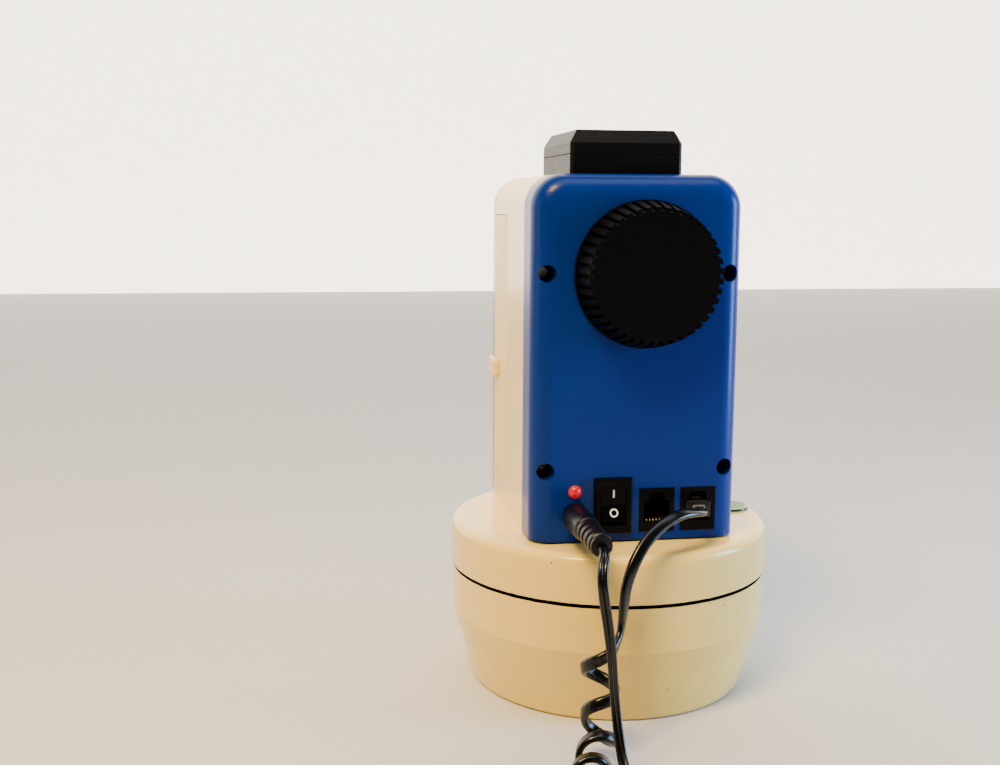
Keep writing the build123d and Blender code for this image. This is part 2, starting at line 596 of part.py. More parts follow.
with BuildPart() as altitude_motor:
    cylinder_z(MOTOR_R, MOTOR_TOP - 46, MOTOR_TOP, worm_at)
    cylinder_z(MOTOR_R + 1, MOTOR_TOP - 19, MOTOR_TOP - 18.4, worm_at, mode=Mode.SUBTRACT)
    cylinder_z(MOTOR_R - 0.4, MOTOR_TOP - 19.1, MOTOR_TOP - 18.3, worm_at)
    cylinder_z(WORM_SHAFT_R + RUNNING, MOTOR_TOP - 3, MOTOR_TOP + 1, worm_at, mode=Mode.SUBTRACT)
save(altitude_motor, "altitude_motor")

with BuildPart() as altitude_worm:
    with Locations((ALT_WORM_X, ALT_WORM_Y, ALT_Z)):
        add(worm_screw(24, WORM_R, 3.3, WORM_PITCH))
    cylinder_z(WORM_SHAFT_R, MOTOR_TOP - 2.8, BRACKET_TOP, worm_at)
save(altitude_worm, "altitude_worm")

# ---- lock knob ----
RIB_BACK = KNOB_BACK - 1.4
taper = degrees(asin((KNOB_R - 0.3 - KNOB_FACE_R) / (RIB_BACK - KNOB_FRONT)))
groove_w = 0.40 * 2 * pi * KNOB_R / KNOB_RIBS
GROOVE = 1.4
HUB_BOSS_R = 9.5
with BuildPart() as lock_knob:
    with BuildSketch(Plane.YZ) as knob_section:
        with BuildLine():
            Polyline(
                (KNOB_BACK, 0),
                (KNOB_BACK, KNOB_R),
                (RIB_BACK, KNOB_R),
                (RIB_BACK, KNOB_R - 0.3),
                (KNOB_FRONT, KNOB_FACE_R),
                (KNOB_FRONT, 0),
                close=True,
            )
        make_face()
    revolve(axis=Axis.Y)
    with Locations(Location((0, KNOB_FRONT, 0), (90, 0, 0))):
        with PolarLocations(KNOB_FACE_R - GROOVE, KNOB_RIBS):
            with Locations(Location((0, 0, 0), (0, -taper, 0))):
                with Locations((GROOVE * 1.5, 0, -(RIB_BACK - KNOB_FRONT) / 2)):
                    Box(GROOVE * 3, groove_w, RIB_BACK - KNOB_FRONT + 0.4, mode=Mode.SUBTRACT)
    cylinder_y(KNOB_R - 5, KNOB_FRONT + 2.5, KNOB_BACK + 1, (0, 0), mode=Mode.SUBTRACT)
    cylinder_y(HUB_BOSS_R, KNOB_FRONT + 2, KNOB_BACK, (0, 0))
    cylinder_y(THREAD_END_R + RUNNING, KNOB_FRONT + 2.5, KNOB_BACK + 1, (0, 0), mode=Mode.SUBTRACT)
with BuildPart() as altitude_lock_knob:
    with Locations((ALT_X, 0, ALT_Z)):
        add(lock_knob.part)
save(altitude_lock_knob, "altitude_lock_knob")

# ================= dovetail saddle =================
SADDLE_L = 72.0
PLATE = (SADDLE_Y, SADDLE_Y + 7)
SLOT_FLOOR = PLATE[1]
JAW_TOP = SLOT_FLOOR + 13
BAR_HALF = 21.9          # half the width of a 43.5 mm dovetail bar, with room to slide
UNDERCUT = (JAW_TOP - SLOT_FLOOR) * tan(radians(15))
JAW_OUT = 30.0
RAIL = (38.0, 46.0)      # below the altitude axis
SCREW_Y = SLOT_FLOOR + 6.5
CLAMP_R = 4.0
PIN_R = 2.0              # guide pins of the moving jaw
PIN_X = 12.0
with BuildPart() as saddle_body:
    with BuildSketch(Plane.YZ.offset(ALT_X - SADDLE_L / 2)) as saddle_section:
        with BuildLine():
            Polyline(
                (PLATE[0], ALT_Z - RAIL[0]),
                (PLATE[0], ALT_Z + JAW_OUT),
                (JAW_TOP, ALT_Z + JAW_OUT),
                (JAW_TOP, ALT_Z + BAR_HALF - UNDERCUT),
                (SLOT_FLOOR, ALT_Z + BAR_HALF),
                (SLOT_FLOOR, ALT_Z - RAIL[0]),
                close=True,
            )
        make_face()
    extrude(amount=SADDLE_L)
    fillet(saddle_body.edges().filter_by(Axis.X).group_by(Axis.Z)[-1], 3)
    slab((ALT_X - 17, ALT_X + 17), (PLATE[0], JAW_TOP), (ALT_Z - RAIL[1], ALT_Z - RAIL[0]))
    cylinder_z(CLAMP_R + RUNNING, ALT_Z - RAIL[1] - 1, ALT_Z - RAIL[0] + 1, (ALT_X, SCREW_Y),
               mode=Mode.SUBTRACT)
    for sx in (-1, 1):
        cylinder_z(PIN_R + RUNNING, ALT_Z - RAIL[1], ALT_Z - RAIL[0] + 1,
                   (ALT_X + sx * PIN_X, SCREW_Y), mode=Mode.SUBTRACT)
    with Locations(Location((ALT_X, 0, ALT_Z), (90, 0, 0))):
        with PolarLocations(SADDLE_SCREW_R, 4, start_angle=45):
            with Locations((0, 0, -(PLATE[0] + 3.5))):
                Cylinder(2.1, 8, mode=Mode.SUBTRACT)
            with Locations((0, 0, -(SLOT_FLOOR - 1.7))):
                Cylinder(3.8, 4, mode=Mode.SUBTRACT)
save(saddle_body, "saddle_body")

saddle_places = [
    Location((ALT_X + SADDLE_SCREW_R * cos(radians(a)), SLOT_FLOOR - 3.7,
              ALT_Z + SADDLE_SCREW_R * sin(radians(a))), (-90, 0, 0))
    for a in (45, 135, 225, 315)
]
screw_group("saddle_screws", cross_screw(3.5, 2.8, 1.95, 8), saddle_places)

JAW_GAP = 0.15
with BuildPart() as saddle_jaw:
    with BuildSketch(Plane.YZ.offset(ALT_X - SADDLE_L / 2 + 6)):
        with BuildLine():
            Polyline(
                (SLOT_FLOOR + JAW_GAP, ALT_Z - JAW_OUT),
                (SLOT_FLOOR + JAW_GAP, ALT_Z - BAR_HALF),
                (JAW_TOP, ALT_Z - BAR_HALF + UNDERCUT),
                (JAW_TOP, ALT_Z - JAW_OUT),
                close=True,
            )
        make_face()
    extrude(amount=SADDLE_L - 12)
    for sx in (-1, 1):
        cylinder_z(PIN_R, ALT_Z - RAIL[1], ALT_Z - JAW_OUT + 1, (ALT_X + sx * PIN_X, SCREW_Y))
    cylinder_z(CLAMP_R + RUNNING, ALT_Z - JAW_OUT - 1, ALT_Z - JAW_OUT + 3, (ALT_X, SCREW_Y),
               mode=Mode.SUBTRACT)
save(saddle_jaw, "saddle_jaw")

CLAMP_TOP = ALT_Z - RAIL[1] - 7.0
CLAMP_H = 12.0
with BuildPart() as clamp_knob:
    with BuildSketch(Plane.XY.offset(CLAMP_TOP - CLAMP_H)):
        with Locations((ALT_X, SCREW_Y)):
            Circle(9.5)
            with PolarLocations(10.6, 8):
                Circle(2.4, mode=Mode.SUBTRACT)
    extrude(amount=CLAMP_H)
    fillet(clamp_knob.faces().sort_by(Axis.Z)[0].edges(), 0.8)
    cylinder_z(6, CLAMP_TOP, CLAMP_TOP + 1.5, (ALT_X, SCREW_Y))
    cylinder_z(CLAMP_R, CLAMP_TOP - 9, CLAMP_TOP + 2, (ALT_X, SCREW_Y), mode=Mode.SUBTRACT)
save(clamp_knob, "clamp_knob")

with BuildPart() as clamp_screw:
    cylinder_z(CLAMP_R, CLAMP_TOP - 9, ALT_Z - JAW_OUT + 2.8, (ALT_X, SCREW_Y))
    chamfer(clamp_screw.edges().group_by(Axis.Z)[-1], 0.7)
save(clamp_screw, "clamp_screw")

# ================= connector panel =================
BOARD_TOP = DECK + JACK_Z - DECK - JACK_H / 2
with BuildPart() as connector_board:
    slab((-31, 33), (FRONT + 3.5, FRONT_SEAM - 1.5), (BOARD_TOP - 1.6, BOARD_TOP))
save(connector_board, "connector_board")

with BuildPart() as status_lamp:
    cylinder_y(2.5, FRONT - 0.2, FRONT + 8, (SOCKET_X, LAMP_Z))
    cylinder_y(2.9, FRONT + COVER_WALL, FRONT + COVER_WALL + 1, (SOCKET_X, LAMP_Z))
    with Locations((SOCKET_X, FRONT + 0.6, LAMP_Z)):
        Sphere(2.5)
save(status_lamp, "status_lamp")

BEZEL = (14.5, 21.2, 2.0)
POCKET = (9.8, 14.7)
with BuildPart() as switch_bezel:
    with Locations((SWITCH_X, FRONT - BEZEL[2] / 2, SWITCH_Z)):
        Box(BEZEL[0], BEZEL[2], BEZEL[1])
    fillet(switch_bezel.faces().sort_by(Axis.Y)[0].edges(), 0.7)
    slab((SWITCH_X - 6.6, SWITCH_X + 6.6), (FRONT - 1, FRONT + 12), (SWITCH_Z - 9.5, SWITCH_Z + 9.5))
    slab((SWITCH_X - POCKET[0] / 2, SWITCH_X + POCKET[0] / 2), (FRONT - 3, FRONT + 10),
         (SWITCH_Z - POCKET[1] / 2, SWITCH_Z + POCKET[1] / 2), mode=Mode.SUBTRACT)
    cylinder_x(1.0 + RUNNING, SWITCH_X - 6.3, SWITCH_X + 6.3, (SWITCH_PIVOT_Y, SWITCH_Z),
               mode=Mode.SUBTRACT)
save(switch_bezel, "switch_bezel")

SWITCH_TILT = radians(8)
rocker_outline = [(-3.4, -2.0), (-5.9, 2.0), (-6.45, 5.8), (0, 4.4), (6.45, 5.8), (5.9, 2.0), (3.4, -2.0)]
tilted = [
    (SWITCH_PIVOT_Y - (-u * sin(SWITCH_TILT) + v * cos(SWITCH_TILT)),
     SWITCH_Z + u * cos(SWITCH_TILT) + v * sin(SWITCH_TILT))
    for u, v in rocker_outline
]
with BuildPart() as rocker_switch:
    with BuildSketch(Plane.YZ.offset(SWITCH_X - 4.7)):
        with BuildLine():
            Polyline(*tilted, close=True)
        make_face()
    extrude(amount=9.4)
    cylinder_x(1.0, SWITCH_X - 6.2, SWITCH_X + 6.2, (SWITCH_PIVOT_Y, SWITCH_Z))
save(rocker_switch, "rocker_switch")

CAVITY_W = 10.0
CAVITY_Z = (JACK_Z - 4.7, JACK_Z + 3.4)
with BuildPart() as handset_jacks:
    for x in JACK_XS:
        slab((x - JACK_W / 2, x + JACK_W / 2), (FRONT - 0.2, FRONT + 15.5),
             (JACK_Z - JACK_H / 2, JACK_Z + JACK_H / 2))
        slab((x - CAVITY_W / 2, x + CAVITY_W / 2), (FRONT - 1, FRONT + 13), CAVITY_Z,
             mode=Mode.SUBTRACT)
        slab((x - 3.2, x + 3.2), (FRONT - 1, FRONT + 10), (CAVITY_Z[1] - 1, CAVITY_Z[1] + 3.2),
             mode=Mode.SUBTRACT)
save(handset_jacks, "handset_jacks")

with BuildPart() as jack_contacts:
    for x, rise in zip(JACK_XS, (2.4, 0.4)):
        for i in range(6):
            wire_x = x + (i - 2.5) * 1.27
            with BuildSketch(Plane.YZ.offset(wire_x - 0.22)):
                with BuildLine():
                    Polyline(
                        (FRONT + 2.0, CAVITY_Z[0]),
                        (FRONT + 2.4, CAVITY_Z[0] + 0.5),
                        (FRONT + 10.0, CAVITY_Z[0] + 0.5 + rise),
                        (FRONT + 12.9, CAVITY_Z[0] + 0.5 + rise),
                        (FRONT + 12.9, CAVITY_Z[0] + rise),
                        (FRONT + 10.0, CAVITY_Z[0] + rise),
                        close=True,
                    )
                make_face()
            extrude(amount=0.44)
save(jack_contacts, "jack_contacts")

with BuildPart() as power_socket:
    slab((SOCKET_X - 4.6, SOCKET_X + 4.6), (FRONT + COVER_WALL, FRONT + 15), (BOARD_TOP, SOCKET_Z + 4.6))
    cylinder_y(4.1, FRONT - 0.3, FRONT + COVER_WALL + 1, (SOCKET_X, SOCKET_Z))
    cylinder_y(2.85, FRONT - 1, FRONT + 12, (SOCKET_X, SOCKET_Z), mode=Mode.SUBTRACT)
    cylinder_y(0.95, FRONT + 1, FRONT + 13, (SOCKET_X, SOCKET_Z))
save(power_socket, "power_socket")

with BuildPart() as main_board:
    slab((-29, 29), (BOARD_FRONT, FRONT_SEAM - 2.0), (DECK + 30, DECK + 128))
    cylinder_y(12, FRONT_SEAM - 5, FRONT_SEAM, ALT, mode=Mode.SUBTRACT)
    slab((-12, 6), (FRONT_SEAM - 2.0, FRONT_SEAM - 0.4), (DECK + 48, DECK + 62))
    slab((12, 22), (FRONT_SEAM - 2.0, FRONT_SEAM - 0.8), (DECK + 40, DECK + 52))
    slab((-24, -16), (FRONT_SEAM - 2.0, FRONT_SEAM - 0.2), (DECK + 36, DECK + 44))
save(main_board, "main_board")

# ================= plugs and leads =================
PLUG_END = FRONT - 25.0
RELIEF_END = FRONT - 43.0
power_at = (SOCKET_X, SOCKET_Z)
with BuildPart() as power_plug:
    cylinder_y(2.75, FRONT - 1, FRONT + 9.5, power_at)
    cylinder_y(5.1, PLUG_END, FRONT - 0.6, power_at)
    fillet(power_plug.edges().filter_by(GeomType.CIRCLE).group_by(Axis.Y)[0], 0.6)
    with Locations(Location((SOCKET_X, (PLUG_END + RELIEF_END) / 2, SOCKET_Z), (90, 0, 0))):
        Cone(4.5, 4.0, PLUG_END - RELIEF_END)
    cylinder_y(1.1, FRONT - 0.5, FRONT + 10, power_at, mode=Mode.SUBTRACT)
save(power_plug, "power_plug")

hand_exit_y = FRONT - 1.5
with BuildPart() as hand_plug:
    slab((JACK_XS[1] - 4.8, JACK_XS[1] + 4.8), (hand_exit_y, FRONT + 11),
         (JACK_Z - 3.6, JACK_Z + 3.2))
    chamfer(hand_plug.faces().sort_by(Axis.Y)[0].edges(), 0.8)
    slab((JACK_XS[1] - 2.9, JACK_XS[1] + 2.9), (hand_exit_y + 1.5, FRONT + 8),
         (JACK_Z + 4.2, JACK_Z + 5.0))
    slab((JACK_XS[1] - 2.9, JACK_XS[1] + 2.9), (FRONT + 7, FRONT + 8), (JACK_Z + 3.1, JACK_Z + 5.0))
save(hand_plug, "hand_plug")


def lead(label, diameter, route):
    """Round lead along straight runs joined by the largest arcs that fit them."""
    points = [Vector(*p) for p in route]
    radii = []
    for before, here, after in zip(points, points[1:], points[2:]):
        run_in, run_out = here - before, after - here
        turn = radians(run_in.get_angle(run_out))
        radii.append(0.45 * min(run_in.length, run_out.length) / tan(turn / 2))
    with BuildPart() as tube:
        with BuildLine() as path:
            FilletPolyline(*points, radius=radii)
        route = path.wires()[0]
        with BuildSketch(Plane(route @ 0, z_dir=route % 0)):
            Circle(diameter / 2)
        sweep()
    ideal = pi * diameter ** 2 / 4 * route.length
    print(f"{label}: length {route.length:.0f} mm, radii {[round(r, 1) for r in radii]},"
          f" volume / ideal {tube.part.volume / ideal:.4f}")
    save(tube, label)


POWER_ROUTE = [
    (SOCKET_X, RELIEF_END, SOCKET_Z),
    (SOCKET_X, RELIEF_END - 4.8, SOCKET_Z),
    (-25.4, -96.2, 75.8),
    (-26.8, -99.9, 70.4),
    (-26.2, -100.8, 63.0),
    (-24.7, -100.6, 54.5),
    (-23.2, -100.4, 44.0),
    (-22.5, -101.8, 31.0),
    (-21.8, -105.0, 19.0),
    (-21.2, -111.4, 8.6),
    (-19.0, -121.4, 2.0),
    (-16.2, -132.8, 2.0),
    (-14.2, -143.5, 2.0),
]
lead("power_lead", POWER_LEAD_D, POWER_ROUTE)

COIL_AT = (15.5, -145.0)
COIL_R = 21.0
COIL_WIDTH = 13.4
COIL_H = 7.7
with BuildPart() as power_lead_coil:
    cylinder_z(COIL_R + COIL_WIDTH / 2, 0, COIL_H, COIL_AT)
    cylinder_z(COIL_R - COIL_WIDTH / 2, -1, COIL_H + 1, COIL_AT, mode=Mode.SUBTRACT)
    fillet(power_lead_coil.edges(), 1.8)
save(power_lead_coil, "power_lead_coil")

LINE_SOCKET_R = 5.0
with BuildPart() as line_socket:
    with Locations((COIL_AT[0] + COIL_R + COIL_WIDTH / 2 + LINE_SOCKET_R, -137.0, LINE_SOCKET_R)):
        with Locations(Location((0, 0, 0), (-90, 0, 0))):
            Cylinder(LINE_SOCKET_R, 24)
            with Locations((0, 0, -13.5)):
                Cone(2.6, 4.2, 6)
            with Locations((0, 0, 7)):
                Cylinder(2.8, 11, mode=Mode.SUBTRACT)
            with Locations((0, 0, 6)):
                Cylinder(0.95, 10)
save(line_socket, "line_socket")

HAND_ROUTE = [
    (JACK_XS[1], hand_exit_y, JACK_Z - 0.1),
    (JACK_XS[1], hand_exit_y - 4.8, JACK_Z - 0.1),
    (22.2, -54.6, 79.2),
    (17.4, -59.4, 80.9),
    (10.8, -63.4, 81.3),
    (3.6, -67.2, 79.2),
    (-3.4, -71.6, 74.9),
    (-8.9, -75.2, 68.2),
    (-12.4, -77.2, 60.0),
    (-13.4, -77.9, 51.4),
    (-14.3, -78.4, 43.6),
    (-17.2, -79.2, 38.6),
]
lead("hand_lead", HAND_LEAD_D, HAND_ROUTE)

CURLY_ROUTE = [
    (-22.3, -79.2, 40.4),
    (-22.2, -80.8, 29.0),
    (-22.5, -83.2, 18.4),
    (-24.6, -90.4, 10.0),
    (-28.2, -99.4, 7.1),
    (-32.4, -110.0, 7.1),
    (-37.4, -123.4, 7.1),
    (-45.6, -136.7, 7.1),
    (-57.4, -146.9, 7.1),
    (-73.6, -152.2, 7.1),
    (-90.6, -151.4, 7.1),
    (-106.0, -144.4, 7.1),
    (-115.0, -135.4, 7.1),
]
lead("curly_lead", CURLY_D, CURLY_ROUTE)

HAND_TAIL_ROUTE = [
    (-115.0, -135.4, 2.0),
    (-120.7, -129.7, 2.0),
    (-123.9, -121.7, 2.0),
    (-123.7, -112.9, 2.0),
    (-119.6, -105.1, 2.0),
    (-112.8, -101.3, 2.8),
]
lead("hand_lead_tail", HAND_LEAD_D, HAND_TAIL_ROUTE)

with BuildPart() as far_plug:
    with Locations(Location((-105.8, -98.4, 3.4), (0, 0, 29.2))):
        Box(13.0, 9.6, 6.6)
        chamfer(far_plug.edges().filter_by(Axis.Z), 0.8)
save(far_plug, "far_plug")
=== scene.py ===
"""Looks of the motorised alt-azimuth mount: camera, light, materials, leads, plugs and small details.

Metres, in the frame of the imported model: +Z up along the azimuth axis, -Y out of the front.
"""
import json
from math import acos, cos, pi, radians, sin, tau

import bmesh
import bpy
from mathutils import Matrix, Vector


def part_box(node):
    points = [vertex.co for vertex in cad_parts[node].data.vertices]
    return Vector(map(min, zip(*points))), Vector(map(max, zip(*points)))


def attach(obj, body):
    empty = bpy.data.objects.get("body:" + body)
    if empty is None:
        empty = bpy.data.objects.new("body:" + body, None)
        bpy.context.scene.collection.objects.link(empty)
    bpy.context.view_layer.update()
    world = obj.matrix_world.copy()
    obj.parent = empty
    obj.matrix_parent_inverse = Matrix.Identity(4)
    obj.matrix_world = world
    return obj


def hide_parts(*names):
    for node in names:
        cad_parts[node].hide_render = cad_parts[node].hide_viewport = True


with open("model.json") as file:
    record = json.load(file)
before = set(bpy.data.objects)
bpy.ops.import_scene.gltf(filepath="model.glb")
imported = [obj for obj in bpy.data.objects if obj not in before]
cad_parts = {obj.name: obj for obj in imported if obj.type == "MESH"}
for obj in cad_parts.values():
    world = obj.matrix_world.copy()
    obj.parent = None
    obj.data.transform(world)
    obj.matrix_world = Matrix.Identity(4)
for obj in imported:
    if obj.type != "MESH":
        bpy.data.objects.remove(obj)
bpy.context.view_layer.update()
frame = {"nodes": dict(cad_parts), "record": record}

MM = 0.001
X, Y, Z = Vector((1, 0, 0)), Vector((0, 1, 0)), Vector((0, 0, 1))


def mm(*xyz):
    """A point given in millimetres, in metres."""
    return Vector(xyz) * MM


# ---------------------------------------------------------------- camera, light, floor
def add_camera():
    """Stands in front of the mount, a little to its left and above, looking slightly down."""
    yaw, pitch, roll = radians(9.213), radians(8.342), radians(0.303)
    forward = Vector((sin(yaw) * cos(pitch), cos(yaw) * cos(pitch), -sin(pitch)))
    level = Vector((cos(yaw), -sin(yaw), 0))
    above = level.cross(forward)
    right = level * cos(roll) + above * sin(roll)
    up = above * cos(roll) - level * sin(roll)
    lens = bpy.data.cameras.new("camera")
    lens.sensor_width = 36
    lens.lens = 44.09
    camera = bpy.data.objects.new("camera", lens)
    camera.matrix_world = Matrix((right, up, -forward)).transposed().to_4x4()
    camera.matrix_world.translation = mm(-122.9, -479.5, 192.7)
    bpy.context.collection.objects.link(camera)
    bpy.context.scene.camera = camera


def add_area_light(name, place, target, size, watts, colour):
    """Rectangular lamp at place that faces target."""
    light = bpy.data.lights.new(name, "AREA")
    light.shape = "RECTANGLE"
    light.size, light.size_y = size
    light.energy = watts
    light.color = colour
    lamp = bpy.data.objects.new(name, light)
    lamp.location = place
    lamp.rotation_euler = (Vector(target) - Vector(place)).to_track_quat("-Z", "Y").to_euler()
    bpy.context.collection.objects.link(lamp)


def add_light():
    """A warm window high on the left, a cooler one low on the right, a pale ceiling and a dim room."""
    aim = (0, 0, 0.11)
    add_area_light("key", (-0.42, -0.52, 0.98), aim, (0.34, 0.34), 24.0, (1.0, 0.68, 0.26))
    add_area_light("warm_left", (-0.95, -0.12, 0.30), aim, (0.4, 0.5), 1.2, (0.96, 0.94, 0.52))
    add_area_light("cool_right", (0.85, -0.20, 0.20), aim, (0.3, 0.5), 15.0, (0.36, 0.62, 1.0))
    add_area_light("overhead", (0.10, -0.25, 1.10), aim, (0.9, 0.5), 6.0, (0.90, 0.94, 1.0))
    world = bpy.data.worlds.new("room")
    world.use_nodes = True
    background = world.node_tree.nodes["Background"]
    background.inputs["Color"].default_value = (0.95, 0.95, 1.0, 1)
    background.inputs["Strength"].default_value = 0.05
    bpy.context.scene.world = world


def stage_piece(name, corners, material):
    """One flat face of the room."""
    mesh = bpy.data.meshes.new(name)
    mesh.from_pydata(corners, [], [tuple(range(len(corners)))])
    piece = bpy.data.objects.new(name, mesh)
    bpy.context.collection.objects.link(piece)
    piece.data.materials.append(material)


def add_stage():
    """A pale floor, and a bright wall well behind the mount."""
    low, far, wide, tall = -0.0002, 2.2, 6, 4
    floor = finish_material("floor_paint", (0.56, 0.56, 0.56), 0.8, mottle=0.02,
                            mottle_size=0.2, grain=0.0, ior=1.1)
    stage_piece("floor", [(-wide, -wide, low), (wide, -wide, low), (wide, far, low),
                          (-wide, far, low)], floor)
    wall = finish_material("wall_paint", (1.0, 0.90, 0.80), 0.8, mottle=0.06, mottle_size=0.3,
                           grain=0.0, glow=4.0)
    stage_piece("wall", [(-wide, far, low), (wide, far, low), (wide, far, tall),
                         (-wide, far, tall)], wall)


# ---------------------------------------------------------------- materials
def add_node(tree, kind, **values):
    """A shader node with its input sockets, or else its properties, set by name."""
    node = tree.nodes.new(kind)
    for name, value in values.items():
        if name in node.inputs:
            node.inputs[name].default_value = value
        else:
            setattr(node, name, value)
    return node


def noise_node(tree, size, detail=3.0, stretch=(1, 1, 1)):
    """Noise whose features are about size metres across, in object coordinates."""
    place = add_node(tree, "ShaderNodeTexCoord")
    scale = add_node(tree, "ShaderNodeMapping", Scale=stretch)
    noise = add_node(tree, "ShaderNodeTexNoise", Scale=1 / size, Detail=detail)
    tree.links.new(place.outputs["Object"], scale.inputs["Vector"])
    tree.links.new(scale.outputs["Vector"], noise.inputs["Vector"])
    return noise


def shade(colour, factor):
    """A colour made lighter or darker, with full alpha."""
    return tuple(min(1.0, c * factor) for c in colour) + (1.0,)


def mix_colours(tree, amount, first, second):
    """Colour socket between two colours, each a tuple or a socket. Mix has a set of sockets for
    each kind of data, so the colour ones are found by number."""
    mix = add_node(tree, "ShaderNodeMix", data_type="RGBA")
    tree.links.new(amount, mix.inputs[0])
    for socket, value in ((mix.inputs[6], first), (mix.inputs[7], second)):
        if isinstance(value, tuple):
            socket.default_value = value
        else:
            tree.links.new(value, socket)
    return mix.outputs[2]


def step_between(tree, value, low, high):
    """0 below low, 1 above high, smooth between."""
    ramp = add_node(tree, "ShaderNodeMapRange", interpolation_type="SMOOTHSTEP")
    ramp.inputs["From Min"].default_value = low
    ramp.inputs["From Max"].default_value = high
    tree.links.new(value, ramp.inputs["Value"])
    return ramp.outputs["Result"]


def in_groove(tree, low, high):
    """1 at heights between low and high, 0 elsewhere, with slightly ragged edges."""
    raggedness = 0.3 * MM
    place = add_node(tree, "ShaderNodeTexCoord")
    height = add_node(tree, "ShaderNodeSeparateXYZ")
    tree.links.new(place.outputs["Object"], height.inputs["Vector"])
    wander = add_node(tree, "ShaderNodeMath", operation="MULTIPLY_ADD")
    wander.inputs[1].default_value = raggedness
    tree.links.new(noise_node(tree, 4 * MM).outputs["Fac"], wander.inputs[0])
    tree.links.new(height.outputs["Z"], wander.inputs[2])
    near = add_node(tree, "ShaderNodeMath", operation="COMPARE")
    near.inputs[1].default_value = (low + high + raggedness) / 2
    near.inputs[2].default_value = (high - low) / 2
    tree.links.new(wander.outputs[0], near.inputs[0])
    return near.outputs[0]


# Colour of the painted shade inside the gap between two parts.
GAP_SHADE = (0.004, 0.003, 0.002, 1.0)
USUAL_SHINE = 0.5                       # Specular IOR Level of a clean surface
SPECK_COLOUR = (0.05, 0.035, 0.02, 1.0)
SPECK_EDGE = (0.11, 0.06)               # distance from a cell's middle where a speck ends and is full
SPECK_PATCHES = 0.70                    # noise level above which specks would start with specks=0


def finish_material(name, colour, roughness, mottle=0.05, mottle_size=0.02, grain=0.03,
                    grain_size=0.0005, stretch=(1, 1, 1), rough_spread=0.06, metallic=0.0,
                    coat=0.0, specks=0.0, speck_size=0.004, transmission=0.0, ior=1.5, glow=0.0,
                    groove=None):
    """Plastic, paint or metal with uneven colour and gloss, a fine surface grain and, where
    asked, sparse dirt specks and painted shade, dark and without shine, in a groove given as its range
    of height."""
    material = bpy.data.materials.new(name)
    material.use_nodes = True
    tree = material.node_tree
    shader = tree.nodes["Principled BSDF"]
    cloud = noise_node(tree, mottle_size)
    colour_socket = mix_colours(tree, cloud.outputs["Fac"],
                                shade(colour, 1 - mottle), shade(colour, 1 + mottle))
    if specks > 0:
        place = add_node(tree, "ShaderNodeTexCoord")
        cells = add_node(tree, "ShaderNodeTexVoronoi", Scale=1 / speck_size)
        tree.links.new(place.outputs["Object"], cells.inputs["Vector"])
        near = step_between(tree, cells.outputs["Distance"], *SPECK_EDGE)
        patches = noise_node(tree, speck_size * 5)
        some = step_between(tree, patches.outputs["Fac"], SPECK_PATCHES - specks,
                            SPECK_PATCHES + 0.04 - specks)
        both = add_node(tree, "ShaderNodeMath", operation="MULTIPLY")
        tree.links.new(near, both.inputs[0])
        tree.links.new(some, both.inputs[1])
        colour_socket = mix_colours(tree, both.outputs[0], colour_socket, SPECK_COLOUR)
    haze = noise_node(tree, mottle_size * 0.6, stretch=stretch)
    spread = add_node(tree, "ShaderNodeMapRange")
    spread.inputs["To Min"].default_value = max(0.0, roughness - rough_spread)
    spread.inputs["To Max"].default_value = roughness + rough_spread
    tree.links.new(haze.outputs["Fac"], spread.inputs["Value"])
    tree.links.new(spread.outputs["Result"], shader.inputs["Roughness"])
    # Painted shade: the gap between two parts is darkened and loses its shine.
    if groove:
        inside = in_groove(tree, *groove)
        colour_socket = mix_colours(tree, inside, colour_socket, GAP_SHADE)
        dull = add_node(tree, "ShaderNodeMapRange")
        dull.inputs["To Min"].default_value = USUAL_SHINE
        dull.inputs["To Max"].default_value = 0.0
        tree.links.new(inside, dull.inputs["Value"])
        tree.links.new(dull.outputs["Result"], shader.inputs["Specular IOR Level"])
    tree.links.new(colour_socket, shader.inputs["Base Color"])
    if grain > 0:
        fine = noise_node(tree, grain_size, detail=2.0, stretch=stretch)
        bump = add_node(tree, "ShaderNodeBump", Strength=grain, Distance=grain_size)
        tree.links.new(fine.outputs["Fac"], bump.inputs["Height"])
        tree.links.new(bump.outputs["Normal"], shader.inputs["Normal"])
    shader.inputs["Metallic"].default_value = metallic
    shader.inputs["Coat Weight"].default_value = coat
    shader.inputs["Coat Roughness"].default_value = 0.12
    shader.inputs["Transmission Weight"].default_value = transmission
    shader.inputs["IOR"].default_value = ior
    if glow > 0:
        shader.inputs["Emission Color"].default_value = shade(colour, 1.0)
        shader.inputs["Emission Strength"].default_value = glow
    return material


